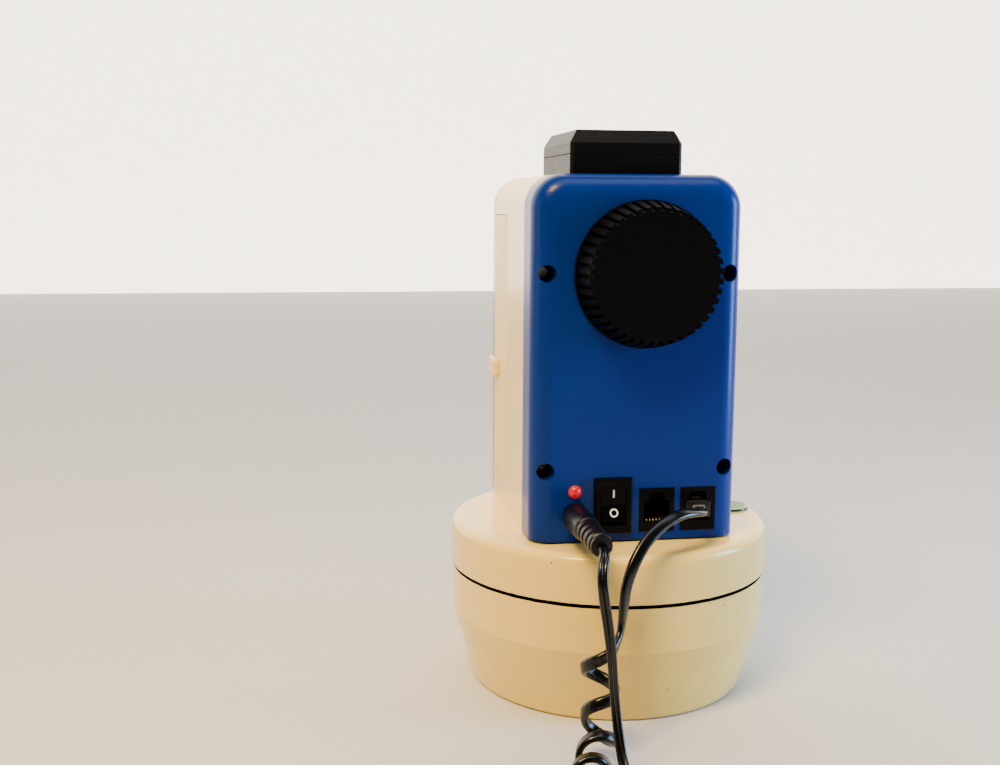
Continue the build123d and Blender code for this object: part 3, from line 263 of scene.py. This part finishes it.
def make_materials():
    """Every finish, by name: most share the record's slot names."""
    cream, blue = (0.84, 0.60, 0.16), (0.0, 0.018, 0.18)
    disc_seam_shade = (46.3 * MM, 47.9 * MM)      # painted shade in the gap, where the bowl ends at 46.5 and the disc starts at 47.7
    # Painted shade along the seam between the receiver's lid and base.
    lid_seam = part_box("receiver_base")[0][2] + 7.5 * MM
    lid_seam_shade = (lid_seam - 0.15 * MM, lid_seam + 0.15 * MM)
    black = (0.0012, 0.0012, 0.0013)
    brass, gold = (0.78, 0.57, 0.25), (0.90, 0.62, 0.22)
    return {
        "cream_paint": finish_material(
            "cream_paint", cream, 0.29, mottle=0.045, mottle_size=0.03, grain=0.05,
            grain_size=0.0011, coat=0.3, specks=0.14, speck_size=0.0045, ior=1.3,
            groove=disc_seam_shade),
        "cream_plastic": finish_material(
            "cream_plastic", (0.84, 0.62, 0.22), 0.38, mottle=0.03, grain=0.04, specks=0.04),
        "blue_plastic": finish_material(
            "blue_plastic", blue, 0.30, mottle=0.04, mottle_size=0.05, grain=0.035,
            grain_size=0.0012, coat=0.06, rough_spread=0.03, ior=1.22),
        "dark_blue_plastic": finish_material(
            "dark_blue_plastic", (0.002, 0.02, 0.10), 0.32, grain=0.04, grain_size=0.001,
            coat=0.2, ior=1.3),
        "knob_plastic": finish_material(
            "knob_plastic", black, 0.42, mottle=0.12, mottle_size=0.01, grain=0.25,
            grain_size=0.00035, ior=1.15),
        "box_plastic": finish_material(
            "box_plastic", black, 0.42, mottle=0.1, grain=0.14,
            grain_size=0.0004, stretch=(1, 1, 5), ior=1.2, groove=lid_seam_shade),
        "black_plastic": finish_material("black_plastic", black, 0.34, grain=0.10, ior=1.16),
        "switch_plastic": finish_material(
            "switch_plastic", black, 0.30, grain=0.08, ior=1.18),
        "saddle_metal": finish_material(
            "saddle_metal", (0.035, 0.035, 0.038), 0.36, metallic=0.6, grain=0.12,
            grain_size=0.0003),
        "steel": finish_material(
            "steel", (0.60, 0.60, 0.61), 0.26, metallic=1.0, mottle=0.08, grain=0.10,
            grain_size=0.0002, stretch=(1, 12, 1)),
        "screw_steel": finish_material(
            "screw_steel", (0.30, 0.30, 0.30), 0.30, metallic=1.0, mottle=0.2, mottle_size=0.002,
            grain=0.08),
        "hard_steel": finish_material(
            "hard_steel", (0.66, 0.66, 0.67), 0.14, metallic=1.0, mottle=0.05, grain=0.02),
        "brass": finish_material(
            "brass", brass, 0.26, metallic=1.0, mottle=0.10, mottle_size=0.006, grain=0.06),
        "motor_case": finish_material(
            "motor_case", (0.36, 0.36, 0.37), 0.34, metallic=0.9, mottle=0.06, grain=0.06),
        "board": finish_material(
            "board", (0.012, 0.14, 0.05), 0.30, mottle=0.25, mottle_size=0.004, coat=0.3),
        "contact_gold": finish_material(
            "contact_gold", gold, 0.25, metallic=1.0, mottle=0.1, mottle_size=0.002, grain=0.02),
        "lamp_red": finish_material(
            "lamp_red", (0.40, 0.0, 0.006), 0.2, mottle=0.02, grain=0.02, glow=0.8),
        "level_rim": finish_material(
            "level_rim", (0.02, 0.05, 0.02), 0.28, mottle=0.15, mottle_size=0.004, coat=0.3),
        "level_liquid": finish_material(
            "level_liquid", (0.16, 0.34, 0.06), 0.32, mottle=0.12, mottle_size=0.006, grain=0.01,
            transmission=0.1, ior=1.15),
        "cell_wrap": finish_material(
            "cell_wrap", (0.05, 0.05, 0.055), 0.25, mottle=0.1, metallic=0.4, coat=0.3),
        "cord_black": finish_material(
            "cord_black", black, 0.24, mottle=0.2, mottle_size=0.006, grain=0.10,
            grain_size=0.0006, ior=1.4),
        "plug_black": finish_material(
            "plug_black", black, 0.36, mottle=0.15, mottle_size=0.004, grain=0.20,
            grain_size=0.0003, ior=1.35),
        "plug_clear": finish_material(
            "plug_clear", (0.012, 0.013, 0.014), 0.2, mottle=0.05, grain=0.03, transmission=0.2,
            ior=1.3),
        "plug_grip": finish_material(
            "plug_grip", (0.10, 0.11, 0.12), 0.26, mottle=0.12, mottle_size=0.002, grain=0.05,
            transmission=0.2, ior=1.4),
        "white_ink": finish_material(
            "white_ink", (0.85, 0.85, 0.83), 0.5, mottle=0.05, mottle_size=0.001, grain=0.05),
    }


MATERIALS = {}


def paint(piece, name):
    """Gives a new piece the material of that name; some of these names are the record's slot names."""
    piece.data.materials.append(MATERIALS[name])


def paint_frame():
    """Gives every CAD node the material of its slot in the record."""
    for entry in frame["record"]["subparts"]:
        for slot in frame["nodes"][entry["node"]].material_slots:
            slot.link = "OBJECT"
            slot.material = MATERIALS[entry["material_slot"]]


def soften_edges(node, width, angle=35):
    """A small round on a CAD node's sharp edges, as a modifier."""
    bevel = frame["nodes"][node].modifiers.new("edge_round", "BEVEL")
    bevel.width = width
    bevel.segments = 2
    bevel.limit_method = "ANGLE"
    bevel.angle_limit = radians(angle)
    bevel.harden_normals = True


# ---------------------------------------------------------------- mesh helpers
def mesh_piece(name, body, material, build, smooth=40):
    """New object from build(bmesh), shaded smooth below that angle, riding on a body."""
    shape = bmesh.new()
    build(shape)
    bmesh.ops.remove_doubles(shape, verts=shape.verts, dist=1e-6)
    bmesh.ops.recalc_face_normals(shape, faces=shape.faces)
    for edge in shape.edges:
        edge.smooth = len(edge.link_faces) == 2 and edge.calc_face_angle() < radians(smooth)
    for face in shape.faces:
        face.smooth = True
    mesh = bpy.data.meshes.new(name)
    shape.to_mesh(mesh)
    shape.free()
    piece = bpy.data.objects.new(name, mesh)
    bpy.context.collection.objects.link(piece)
    paint(piece, material)
    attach(piece, body)
    return piece


def bridge(shape, rings, close_ends=True):
    """Skin over rings of equally many points."""
    loops = [[shape.verts.new(point) for point in ring] for ring in rings]
    for lower, upper in zip(loops, loops[1:]):
        for i in range(len(lower)):
            j = (i + 1) % len(lower)
            shape.faces.new((lower[i], lower[j], upper[j], upper[i]))
    if close_ends:
        shape.faces.new(loops[0])
        shape.faces.new(loops[-1])


def turned(shape, start, axis, profile, sides=48):
    """Solid of revolution from start along axis, from (distance, radius) pairs."""
    axis = axis.normalized()
    across = axis.orthogonal().normalized()
    over = axis.cross(across)
    bridge(shape, [
        [start + axis * along + (across * cos(tau * i / sides) + over * sin(tau * i / sides)) * radius
         for i in range(sides)]
        for along, radius in profile
    ])


def flat_ring(shape, centre, plane, inner, outer, height, sides):
    """Flat ring in the plane of two axes, reaching height above and below it."""
    across, over = plane
    normal = across.cross(over)
    rings = []
    for radius, lift in ((inner, -height), (inner, height), (outer, height), (outer, -height),
                         (inner, -height)):
        rings.append([
            centre + (across * cos(tau * i / sides) + over * sin(tau * i / sides)) * radius
            + normal * lift
            for i in range(sides)])
    bridge(shape, rings, close_ends=False)


def rounded_block(shape, centre, half, axes, bevel=0.3 * MM):
    """Box of half sizes along three axes, with its edges rounded."""
    made = bmesh.ops.create_cube(shape, size=2.0)["verts"]
    for vert in made:
        vert.co = centre + sum((axis * h * c for axis, h, c in zip(axes, half, vert.co)),
                               Vector())
    edges = {edge for vert in made for edge in vert.link_edges}
    bmesh.ops.bevel(shape, geom=list(edges), offset=bevel, segments=3, affect="EDGES",
                    profile=0.5)


# ---------------------------------------------------------------- leads
def centreline(points):
    """Points down a NURBS curve that has these control points."""
    curve = bpy.data.curves.new("route", "CURVE")
    curve.dimensions = "3D"
    curve.resolution_u = 6
    spline = curve.splines.new("NURBS")
    spline.points.add(len(points) - 1)
    for control, point in zip(spline.points, points):
        control.co = (*point, 1)
    spline.order_u = 3
    spline.use_endpoint_u = True
    carrier = bpy.data.objects.new("route", curve)
    mesh = bpy.data.meshes.new_from_object(carrier)
    line = [vert.co.copy() for vert in mesh.vertices]
    bpy.data.meshes.remove(mesh)
    bpy.data.curves.remove(curve)
    return line


def length_of(line):
    """Length of a line of points."""
    return sum((b - a).length for a, b in zip(line, line[1:]))


def tangents(line):
    """The way that a line of points runs at each of them."""
    ends = [line[0]] + line + [line[-1]]
    return [(after - before).normalized() for before, after in zip(ends, ends[2:])]


def spread_along(values, count):
    """Vectors given at equal steps, blended to count of them."""
    result = []
    for i in range(count):
        at = i / (count - 1) * (len(values) - 1)
        k = min(int(at), len(values) - 2)
        result.append(values[k].lerp(values[k + 1], at - k))
    return result


def flat_section(width, thickness, steps=6):
    """Rounded flat cord: (along the width, across it) pairs."""
    r = thickness / 2
    points = []
    for side, turn in ((1, -pi / 2), (-1, pi / 2)):
        for i in range(steps + 1):
            angle = turn + pi * i / steps
            points.append((side * (width / 2 - r) + r * cos(angle), r * sin(angle)))
    return points


def twin_section(width, thickness, steps=12):
    """Two-core cord: two round lobes that meet in a groove."""
    r = thickness / 2
    offset = width / 2 - r
    reach = pi - acos(offset / r)
    points = []
    for side in (1, -1):
        for i in range(steps):
            angle = side * reach * (2 * i / steps - 1)
            points.append((side * (offset + r * cos(angle)), r * sin(angle)))
    return points


def sweep_cord(name, body, line, guides, section, material):
    """Mesh tube along line. A guide is the way that the flat side faces there."""
    rings = []
    for point, along, guide in zip(line, tangents(line), spread_along(guides, len(line))):
        outward = (guide - along * guide.dot(along)).normalized()
        sideways = along.cross(outward)
        rings.append([point + sideways * u + outward * v for u, v in section])
    return mesh_piece(name, body, material, lambda shape: bridge(shape, rings), smooth=60)


# The power lead leaves its plug, hangs down in front of the base and reaches the floor.
POWER_ROUTE = [
    mm(-23.55, -86.0, 77.1),
    mm(-23.55, -90.8, 77.1),
    mm(-25.4, -96.2, 75.8),
    mm(-26.8, -99.9, 70.4),
    mm(-26.2, -100.8, 63.0),
    mm(-24.7, -100.6, 54.5),
    mm(-23.2, -100.4, 44.0),
    mm(-22.5, -101.8, 31.0),
    mm(-21.8, -105.0, 19.0),
    mm(-21.2, -111.4, 8.6),
    mm(-19.0, -121.4, 2.0),
    mm(-16.2, -132.8, 2.0),
    mm(-14.2, -143.5, 2.0),
]
POWER_W, POWER_T = 3.7 * MM, 1.95 * MM


def power_coil(centre, mean_r, span, heights, turns, per_turn=14):
    """Turns side by side from the outside in on the floor, then out again on top of them."""
    layer, climb = 0.48, 0.04           # shares of the coil in each layer and between the two
    points = []
    count = int(turns * per_turn)
    for i in range(1, count + 1):
        done = i / count
        angle = pi + tau * turns * done
        inward = min(1.0, done / layer) - max(0.0, (done - layer - climb) / layer)
        radius = mean_r + span * (1 - 2 * inward)
        rise = min(1.0, max(0.0, (done - layer) / climb))
        height = heights[0] + (heights[1] - heights[0]) * rise
        points.append(centre + Vector((radius * cos(angle), radius * sin(angle), height)))
    return points


def add_power_lead():
    """The two-core lead with its plug, the coil of its unseen length and the socket at its end."""
    coil_low, coil_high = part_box("power_lead_coil")
    centre = Vector(((coil_low[0] + coil_high[0]) / 2, (coil_low[1] + coil_high[1]) / 2, 0))
    outer = (coil_high[0] - coil_low[0]) / 2
    mean_r = 21.0 * MM
    coil = power_coil(centre, mean_r, span=outer - mean_r - POWER_T / 2,
                      heights=(1.9 * MM, 5.7 * MM), turns=11.25)
    rear = mm(48.2, -153.5, 5.0)
    lead_out = [mm(30.0, -170.8, 5.6), mm(41.5, -166.0, 5.4), mm(47.2, -160.0, 5.2), rear,
                rear + Y * 5 * MM]
    points = POWER_ROUTE + coil + lead_out
    down = Vector((-0.2, -1, 0))
    guides = [Z, Z, Vector((0, -1, 1)), down, down, Vector((-0.6, -0.9, 0)),
              Vector((-0.9, -0.6, 0.1)), Vector((-0.7, -0.4, 0.6)), Vector((-0.4, -0.2, 1)),
              Vector((-0.8, 0.1, 0.6)), -X, -X]
    guides += [Vector((*(point - centre).xy, 0)).normalized() for point in coil]
    guides += [-Y, Vector((0.4, -0.9, 0)), Vector((0.9, -0.4, 0)), X, X]
    line = centreline(points)
    cord = sweep_cord("power_cord", "tower", line, guides,
                      twin_section(POWER_W, POWER_T), "cord_black")
    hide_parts("power_lead", "power_lead_coil")
    plug = add_power_plug()
    socket = add_line_socket(rear, Y)


def relief_rings(start, rings, pitch, radius, taper, groove):
    """Profile of a ribbed strain relief: rings with grooves cut between them."""
    profile = []
    for i in range(rings):
        at, r = start + i * pitch, radius - taper * i
        profile += [(at, groove), (at + pitch * 0.10, r * 0.97), (at + pitch * 0.19, r),
                    (at + pitch * 0.60, r), (at + pitch * 0.69, r * 0.97), (at + pitch * 0.78, groove)]
    return profile


def add_power_plug():
    """Moulded plug: a smooth grip with thumb flats, then a ribbed relief."""
    low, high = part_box("power_plug")
    axis = Vector(((low[0] + high[0]) / 2, 0, (low[2] + high[2]) / 2))
    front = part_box("front_cover")[0][1]
    start = axis + Y * (front - 0.5 * MM)
    flat_from, flat_to, flat_at = 3 * MM, 19 * MM, 4.6 * MM     # thumb flats on both sides
    grip = [(0.0, 3.2), (0.1, 4.4), (0.7, 4.95), (1.8, 5.05), (15.0, 5.05), (18.5, 4.95),
            (20.2, 4.6), (21.2, 3.9)]
    relief = relief_rings(start=21.3, rings=4, pitch=5.05, radius=4.5, taper=0.1, groove=3.1)
    end = [(41.4, 3.9), (42.3, 3.8), (42.5, 2.6), (42.5, 1.4)]
    profile = [(d * MM, r * MM) for d, r in grip + relief + end]

    def build(shape):
        turned(shape, start, -Y, profile, sides=56)
        turned(shape, start, Y, [(0, 2.7 * MM), (9.6 * MM, 2.7 * MM), (9.9 * MM, 2.4 * MM)], sides=32)
        for vert in shape.verts:
            if flat_from < start.y - vert.co.y < flat_to:
                vert.co.x = max(axis.x - flat_at, min(axis.x + flat_at, vert.co.x))

    plug = mesh_piece("power_plug_body", "tower", "plug_black", build, smooth=50)
    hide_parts("power_plug")
    return plug


def add_line_socket(rear, heading):
    """In-line socket at the far end: a round body with grip rings and a short relief."""
    profile = [(0.0, 2.3), (0.4, 2.6), (2.6, 3.1), (2.7, 2.5), (3.4, 2.5), (3.5, 3.5), (5.4, 4.1),
               (5.6, 4.6), (6.4, 4.9), (9.0, 4.95)]
    for ring in range(4):
        at = 10.0 + ring * 2.4
        profile += [(at, 4.95), (at + 0.4, 4.55), (at + 1.2, 4.55), (at + 1.6, 4.95)]
    profile += [(28.2, 4.95), (28.7, 4.7), (28.9, 4.3), (28.9, 2.8), (21.0, 2.8), (21.0, 0.9),
                (27.6, 0.9), (28.0, 0.6)]

    def build(shape):
        turned(shape, rear, heading, [(d * MM, r * MM) for d, r in profile], sides=48)

    piece = mesh_piece("power_end_socket", "tower", "plug_black", build, smooth=45)
    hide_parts("line_socket")
    return piece


# The hand-controller lead leaves its plug to the left, turns down and becomes a curly cord.
HAND_ROUTE = [
    mm(24.25, -44.5, 78.1),
    mm(24.25, -49.3, 78.1),
    mm(22.2, -54.6, 79.2),
    mm(17.4, -59.4, 80.9),
    mm(10.8, -63.4, 81.3),
    mm(3.6, -67.2, 79.2),
    mm(-3.4, -71.6, 74.9),
    mm(-8.9, -75.2, 68.2),
    mm(-12.4, -77.2, 60.0),
    mm(-13.4, -77.9, 51.4),
    mm(-14.3, -78.4, 43.6),
    mm(-17.2, -79.2, 38.6),
]
# The middle of the curly part, which hangs in front of the base and then lies in a bow to the left.
CURLY_ROUTE = [
    mm(-22.3, -79.2, 40.4),
    mm(-22.2, -80.8, 29.0),
    mm(-22.5, -83.2, 18.4),
    mm(-24.6, -90.4, 10.0),
    mm(-28.2, -99.4, 7.1),
    mm(-32.4, -110.0, 7.1),
    mm(-37.4, -123.4, 7.1),
    mm(-45.6, -136.7, 7.1),
    mm(-57.4, -146.9, 7.1),
    mm(-73.6, -152.2, 7.1),
    mm(-90.6, -151.4, 7.1),
    mm(-106.0, -144.4, 7.1),
    mm(-115.0, -135.4, 7.1),
]
# After its last turn the cord lies flat and bends back towards the plug at its far end.
HAND_TAIL = [
    mm(-115.0, -135.4, 2.0),
    mm(-120.7, -129.7, 2.0),
    mm(-123.9, -121.7, 2.0),
    mm(-123.7, -112.9, 2.0),
    mm(-119.6, -105.1, 2.0),
    mm(-112.8, -101.3, 2.8),
]
HAND_W, HAND_T = 4.5 * MM, 2.5 * MM
CURLY_R = 7.0 * MM
CLOSED_PITCH, OPEN_PITCH = 5.7 * MM, 16.5 * MM
OPEN_UNTIL, CLOSED_FROM = 46 * MM, 72 * MM      # distances along the curly route


def curly_turns(per_turn=13):
    """Helix round the curly route, drawn out where it hangs and closed on the floor.

    Returns its points and, for each, the way out from the middle."""
    line = centreline(CURLY_ROUTE)
    along = tangents(line)
    side = (X - along[0] * along[0].dot(X)).normalized()
    radius = CURLY_R - HAND_T / 2
    angle = travelled = 0.0
    points, outwards = [], []
    due = 0.0
    first, last = 1.5 * MM, length_of(line) - 4.5 * MM
    parts = 20
    for k in range(1, len(line)):
        step = (line[k] - line[k - 1]).length
        for part in range(parts):
            at = travelled + step * part / parts
            place = line[k - 1].lerp(line[k], part / parts)
            tangent = along[k - 1].lerp(along[k], part / parts).normalized()
            side = (side - tangent * side.dot(tangent)).normalized()
            other = tangent.cross(side)
            if angle >= due and first < at < last:
                outward = side * cos(angle) + other * sin(angle)
                points.append(place + outward * radius)
                outwards.append(outward)
                due = angle + tau / per_turn
            open_share = min(1.0, max(0.0, (CLOSED_FROM - at) / (CLOSED_FROM - OPEN_UNTIL)))
            pitch = CLOSED_PITCH + (OPEN_PITCH - CLOSED_PITCH) * open_share
            angle += tau * step / parts / pitch
        travelled += step
    return points, outwards


def modular_plug(name, tip, forward, up, body):
    """Smoky clear 6-position plug: body, latch lever with its catch, and six contacts."""
    side = forward.cross(up)
    axes = (side, forward, up)

    def build(shape):
        middle = tip - forward * 6.2 * MM
        lever = tip - forward * 5.4 * MM + up * 4.0 * MM
        catch = tip - forward * 1.3 * MM + up * 3.5 * MM
        rounded_block(shape, middle, (4.75 * MM, 6.2 * MM, 3.2 * MM), axes)
        rounded_block(shape, lever, (1.6 * MM, 4.6 * MM, 0.45 * MM), axes, bevel=0.15 * MM)
        rounded_block(shape, catch, (2.9 * MM, 0.8 * MM, 0.7 * MM), axes, bevel=0.15 * MM)
        for i in range(6):
            contact = tip - forward * 1.8 * MM - up * 3.1 * MM + side * (i - 2.5) * 1.02 * MM
            rounded_block(shape, contact, (0.16 * MM, 1.7 * MM, 0.35 * MM), axes, bevel=0.04 * MM)

    return mesh_piece(name, body, "plug_clear", build)


def modular_grip(name, tip, forward, up, body):
    """Paler strain relief that holds the cord at the back of a modular plug."""
    axes = (forward.cross(up), forward, up)

    def build(shape):
        rounded_block(shape, tip - forward * 11.3 * MM - up * 0.1 * MM,
                      (2.5 * MM, 1.9 * MM, 1.9 * MM), axes, bevel=0.6 * MM)

    return mesh_piece(name, body, "plug_grip", build)


def add_hand_lead():
    """The hand controller's lead with a plug at each end. The straight runs give up the point
    where they meet the curly part, so that the cord flows into its turns."""
    turns, outwards = curly_turns()
    points = HAND_ROUTE[:-1] + turns + HAND_TAIL[1:]
    guides = [Z, Z, Vector((0.1, -0.2, 1)), Vector((0.1, -0.5, 0.9)), Vector((0, -0.7, 0.7)),
              Vector((0, -0.9, 0.5)), Vector((0, -1, 0.3)), Vector((0.2, -1, 0)),
              Vector((0.6, -0.9, 0)), Vector((0.9, -0.6, 0)), Vector((1, -0.3, 0))]
    guides += outwards + [Z] * len(HAND_TAIL[1:])
    line = centreline(points)
    cord = sweep_cord("hand_cord", "tower", line, guides,
                      flat_section(HAND_W, HAND_T), "cord_black")
    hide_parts("hand_lead", "curly_lead", "hand_lead_tail")
    plug_low, plug_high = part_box("hand_plug")
    plug_rise, plug_reach = 3.4 * MM, 12.5 * MM      # middle above its underside, tip past the cord
    near = Vector(((plug_low[0] + plug_high[0]) / 2, plug_high[1], plug_low[2] + plug_rise))
    near_plug = modular_plug("hand_plug_body", near, Y, Z, "tower")
    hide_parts("hand_plug")
    near_grip = modular_grip("hand_plug_grip", near, Y, Z, "tower")
    heading = HAND_TAIL[-1] - HAND_TAIL[-2]
    heading.z = 0
    heading.normalize()
    far = HAND_TAIL[-1] + heading * plug_reach
    far.z = plug_rise
    far_plug = modular_plug("hand_end_plug", far, heading, Z, "tower")
    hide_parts("far_plug")
    far_grip = modular_grip("hand_end_grip", far, heading, Z, "tower")


# ---------------------------------------------------------------- small details
def add_switch_marks():
    """I and O on the two halves of the rocker, printed just proud of its faces."""
    low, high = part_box("switch_bezel")
    pivot = Vector(((low[0] + high[0]) / 2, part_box("front_cover")[0][1] + 3.0 * MM,
                    (low[2] + high[2]) / 2))
    tilt = radians(8)                   # half of the rocker's travel
    up = Vector((0, sin(tilt), cos(tilt)))
    out = Vector((0, -cos(tilt), sin(tilt)))
    edge, crest, end = 6.45 * MM, 4.4 * MM, 5.8 * MM     # half height, middle and ends of its face
    fall = (end - crest) / edge
    rise_up, rise_down = (up + out * fall).normalized(), (up - out * fall).normalized()
    on_at, off_at = 4.1 * MM, 3.1 * MM
    upper = pivot + up * on_at + out * (crest + fall * on_at)
    lower = pivot - up * off_at + out * (crest + fall * off_at)

    def bar(shape):
        normal = X.cross(rise_up) * -1
        rounded_block(shape, upper - normal * 0.02 * MM, (0.27 * MM, 1.45 * MM, 0.05 * MM),
                      (X, rise_up, normal), bevel=0.03 * MM)

    def ring(shape):
        flat_ring(shape, lower, (X, rise_down), 1.1 * MM, 1.63 * MM, 0.03 * MM, sides=40)

    mesh_piece("switch_mark_on", "rocker", "white_ink", bar)
    mesh_piece("switch_mark_off", "rocker", "white_ink", ring)


def add_level_details():
    """The bubble and the ring that it is read against, just under the vial's top."""
    low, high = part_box("level_vial")
    centre = Vector(((low[0] + high[0]) / 2, (low[1] + high[1]) / 2, high[2]))

    def bubble(shape):
        turned(shape, centre + Vector((-0.9, 0.6, -0.02)) * MM, Z,
               [(0, 2.1 * MM), (0.05 * MM, 1.9 * MM), (0.09 * MM, 1.2 * MM), (0.1 * MM, 0.3 * MM)])

    def ring(shape):
        flat_ring(shape, centre, (X, Y), 2.9 * MM, 3.2 * MM, 0.04 * MM, sides=64)

    mesh_piece("level_bubble", "tower", "plug_grip", bubble)
    mesh_piece("level_ring", "tower", "black_plastic", ring)


# Millimetres that the sharp edges of a CAD node are rounded by.
EDGE_ROUNDS = {
    "receiver_lid": 0.35, "receiver_base": 0.2, "switch_bezel": 0.25, "handset_jacks": 0.12,
    "rocker_switch": 0.15, "altitude_lock_knob": 0.18, "tower_frame": 0.2, "saddle_body": 0.3,
    "saddle_jaw": 0.3, "clamp_knob": 0.15,
}


def main():
    MATERIALS.update(make_materials())
    add_camera()
    add_light()
    add_stage()
    paint_frame()
    for node, width in EDGE_ROUNDS.items():
        soften_edges(node, width * MM)
    add_power_lead()
    add_hand_lead()
    add_switch_marks()
    add_level_details()


main()
